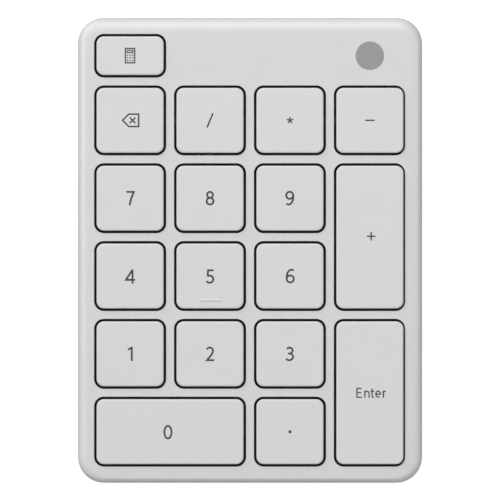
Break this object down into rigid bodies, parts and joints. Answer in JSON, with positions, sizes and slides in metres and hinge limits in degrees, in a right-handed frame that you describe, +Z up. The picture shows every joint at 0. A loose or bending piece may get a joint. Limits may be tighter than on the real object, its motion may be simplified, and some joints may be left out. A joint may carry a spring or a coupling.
{
  "type": "numeric keypad",
  "caption": "Slim wedge-shaped wireless number pad with low scissor keys in wells of a flat rounded case, on rubber feet, with a battery door below.",
  "frame": {"origin": "centre of the footprint, on the surface that the rubber feet stand on", "axes": "+X right and +Y to the rear, as a person using the keypad sees it; +Z up"},
  "size_m": [0.0822, 0.1112, 0.0122],
  "materials": {
    "case_plastic": "fine satin moulded surface, pale cool grey",
    "keycap_plastic": "fine satin moulded surface, pale cool grey, dark grey printed legends",
    "link_plastic": "natural acetal, smooth",
    "dome_silicone": "translucent grey silicone",
    "membrane_film": "dark printed polyester film",
    "plate_steel": "black coated sheet steel",
    "bright_steel": "bright nickel-plated steel",
    "board_laminate": "green solder mask on laminate",
    "dark_plastic": "black moulded housing",
    "foot_rubber": "grey rubber"
  },
  "bodies": {
    "case": {"top_case": "case_plastic", "bottom_case": "case_plastic", "support_plate": "plate_steel", "membrane_circuit": "membrane_film", "dome_sheet": "dome_silicone", "case_screw_rear_left": "bright_steel", "case_screw_rear_right": "bright_steel", "case_screw_front": "bright_steel", "coin_cell": "bright_steel", "negative_contact": "bright_steel", "positive_contact": "bright_steel", "main_board": "board_laminate", "radio_can": "bright_steel", "tail_connector": "dark_plastic", "pairing_switch": "dark_plastic", "foot_front_left": "foot_rubber", "foot_front_right": "foot_rubber", "foot_rear_left": "foot_rubber", "foot_rear_right": "foot_rubber", "scissor_calculator": "link_plastic", "scissor_backspace": "link_plastic", "scissor_divide": "link_plastic", "scissor_multiply": "link_plastic", "scissor_minus": "link_plastic", "scissor_7": "link_plastic", "scissor_8": "link_plastic", "scissor_9": "link_plastic", "scissor_plus": "link_plastic", "scissor_4": "link_plastic", "scissor_5": "link_plastic", "scissor_6": "link_plastic", "scissor_1": "link_plastic", "scissor_2": "link_plastic", "scissor_3": "link_plastic", "scissor_enter": "link_plastic", "scissor_0": "link_plastic", "scissor_decimal": "link_plastic"},
    "keycap_calculator": {"keycap_calculator": "keycap_plastic"},
    "keycap_backspace": {"keycap_backspace": "keycap_plastic"},
    "keycap_divide": {"keycap_divide": "keycap_plastic"},
    "keycap_multiply": {"keycap_multiply": "keycap_plastic"},
    "keycap_minus": {"keycap_minus": "keycap_plastic"},
    "keycap_7": {"keycap_7": "keycap_plastic"},
    "keycap_8": {"keycap_8": "keycap_plastic"},
    "keycap_9": {"keycap_9": "keycap_plastic"},
    "keycap_plus": {"keycap_plus": "keycap_plastic"},
    "keycap_4": {"keycap_4": "keycap_plastic"},
    "keycap_5": {"keycap_5": "keycap_plastic"},
    "keycap_6": {"keycap_6": "keycap_plastic"},
    "keycap_1": {"keycap_1": "keycap_plastic"},
    "keycap_2": {"keycap_2": "keycap_plastic"},
    "keycap_3": {"keycap_3": "keycap_plastic"},
    "keycap_enter": {"keycap_enter": "keycap_plastic"},
    "keycap_0": {"keycap_0": "keycap_plastic"},
    "keycap_decimal": {"keycap_decimal": "keycap_plastic"},
    "stabiliser_wire_plus": {"stabiliser_wire_plus": "bright_steel"},
    "stabiliser_wire_enter": {"stabiliser_wire_enter": "bright_steel"},
    "stabiliser_wire_0": {"stabiliser_wire_0": "bright_steel"},
    "battery_door": {"battery_door": "case_plastic"},
    "pairing_button": {"pairing_button": "keycap_plastic"}
  },
  "joints": [
    {"name": "key_calculator_press", "type": "slide", "parent": "case", "child": "keycap_calculator", "axis": [0, 0.0436, -0.999], "range_m": [0, 0.00135], "stiffness_N_per_m": 400, "deforming": ["scissor_calculator", "dome_sheet"]},
    {"name": "key_backspace_press", "type": "slide", "parent": "case", "child": "keycap_backspace", "axis": [0, 0.0436, -0.999], "range_m": [0, 0.00135], "stiffness_N_per_m": 400, "deforming": ["scissor_backspace", "dome_sheet"]},
    {"name": "key_divide_press", "type": "slide", "parent": "case", "child": "keycap_divide", "axis": [0, 0.0436, -0.999], "range_m": [0, 0.00135], "stiffness_N_per_m": 400, "deforming": ["scissor_divide", "dome_sheet"]},
    {"name": "key_multiply_press", "type": "slide", "parent": "case", "child": "keycap_multiply", "axis": [0, 0.0436, -0.999], "range_m": [0, 0.00135], "stiffness_N_per_m": 400, "deforming": ["scissor_multiply", "dome_sheet"]},
    {"name": "key_minus_press", "type": "slide", "parent": "case", "child": "keycap_minus", "axis": [0, 0.0436, -0.999], "range_m": [0, 0.00135], "stiffness_N_per_m": 400, "deforming": ["scissor_minus", "dome_sheet"]},
    {"name": "key_7_press", "type": "slide", "parent": "case", "child": "keycap_7", "axis": [0, 0.0436, -0.999], "range_m": [0, 0.00135], "stiffness_N_per_m": 400, "deforming": ["scissor_7", "dome_sheet"]},
    {"name": "key_8_press", "type": "slide", "parent": "case", "child": "keycap_8", "axis": [0, 0.0436, -0.999], "range_m": [0, 0.00135], "stiffness_N_per_m": 400, "deforming": ["scissor_8", "dome_sheet"]},
    {"name": "key_9_press", "type": "slide", "parent": "case", "child": "keycap_9", "axis": [0, 0.0436, -0.999], "range_m": [0, 0.00135], "stiffness_N_per_m": 400, "deforming": ["scissor_9", "dome_sheet"]},
    {"name": "key_plus_press", "type": "slide", "parent": "case", "child": "keycap_plus", "axis": [0, 0.0436, -0.999], "range_m": [0, 0.00135], "stiffness_N_per_m": 400, "deforming": ["scissor_plus", "dome_sheet"]},
    {"name": "key_4_press", "type": "slide", "parent": "case", "child": "keycap_4", "axis": [0, 0.0436, -0.999], "range_m": [0, 0.00135], "stiffness_N_per_m": 400, "deforming": ["scissor_4", "dome_sheet"]},
    {"name": "key_5_press", "type": "slide", "parent": "case", "child": "keycap_5", "axis": [0, 0.0436, -0.999], "range_m": [0, 0.00135], "stiffness_N_per_m": 400, "deforming": ["scissor_5", "dome_sheet"]},
    {"name": "key_6_press", "type": "slide", "parent": "case", "child": "keycap_6", "axis": [0, 0.0436, -0.999], "range_m": [0, 0.00135], "stiffness_N_per_m": 400, "deforming": ["scissor_6", "dome_sheet"]},
    {"name": "key_1_press", "type": "slide", "parent": "case", "child": "keycap_1", "axis": [0, 0.0436, -0.999], "range_m": [0, 0.00135], "stiffness_N_per_m": 400, "deforming": ["scissor_1", "dome_sheet"]},
    {"name": "key_2_press", "type": "slide", "parent": "case", "child": "keycap_2", "axis": [0, 0.0436, -0.999], "range_m": [0, 0.00135], "stiffness_N_per_m": 400, "deforming": ["scissor_2", "dome_sheet"]},
    {"name": "key_3_press", "type": "slide", "parent": "case", "child": "keycap_3", "axis": [0, 0.0436, -0.999], "range_m": [0, 0.00135], "stiffness_N_per_m": 400, "deforming": ["scissor_3", "dome_sheet"]},
    {"name": "key_enter_press", "type": "slide", "parent": "case", "child": "keycap_enter", "axis": [0, 0.0436, -0.999], "range_m": [0, 0.00135], "stiffness_N_per_m": 400, "deforming": ["scissor_enter", "dome_sheet"]},
    {"name": "key_0_press", "type": "slide", "parent": "case", "child": "keycap_0", "axis": [0, 0.0436, -0.999], "range_m": [0, 0.00135], "stiffness_N_per_m": 400, "deforming": ["scissor_0", "dome_sheet"]},
    {"name": "key_decimal_press", "type": "slide", "parent": "case", "child": "keycap_decimal", "axis": [0, 0.0436, -0.999], "range_m": [0, 0.00135], "stiffness_N_per_m": 400, "deforming": ["scissor_decimal", "dome_sheet"]},
    {"name": "stabiliser_plus_swing", "type": "hinge", "parent": "keycap_plus", "child": "stabiliser_wire_plus", "pos_m": [0.03483, 0.00293, 0.00835], "axis": [0, 0.999, 0.0436], "range_deg": [0, 9.9]},
    {"name": "stabiliser_enter_swing", "type": "hinge", "parent": "keycap_enter", "child": "stabiliser_wire_enter", "pos_m": [0.03483, -0.03413, 0.00673], "axis": [0, 0.999, 0.0436], "range_deg": [0, 9.9]},
    {"name": "stabiliser_0_swing", "type": "hinge", "parent": "keycap_0", "child": "stabiliser_wire_0", "pos_m": [-0.01905, -0.03715, 0.0066], "axis": [-1, 0, 0], "range_deg": [0, 9.9]},
    {"name": "battery_door_slide", "type": "slide", "parent": "case", "child": "battery_door", "axis": [0, 1, 0], "range_m": [0, 0.026]},
    {"name": "pairing_button_press", "type": "slide", "parent": "case", "child": "pairing_button", "axis": [0, 0, 1], "range_m": [0, 0.0003], "stiffness_N_per_m": 800}
  ],
  "couplings": [
    {"joint": "stabiliser_plus_swing", "follows": "key_plus_press", "rad_per_m": 126.2},
    {"joint": "stabiliser_enter_swing", "follows": "key_enter_press", "rad_per_m": 126.2},
    {"joint": "stabiliser_0_swing", "follows": "key_0_press", "rad_per_m": 126.2}
  ]
}
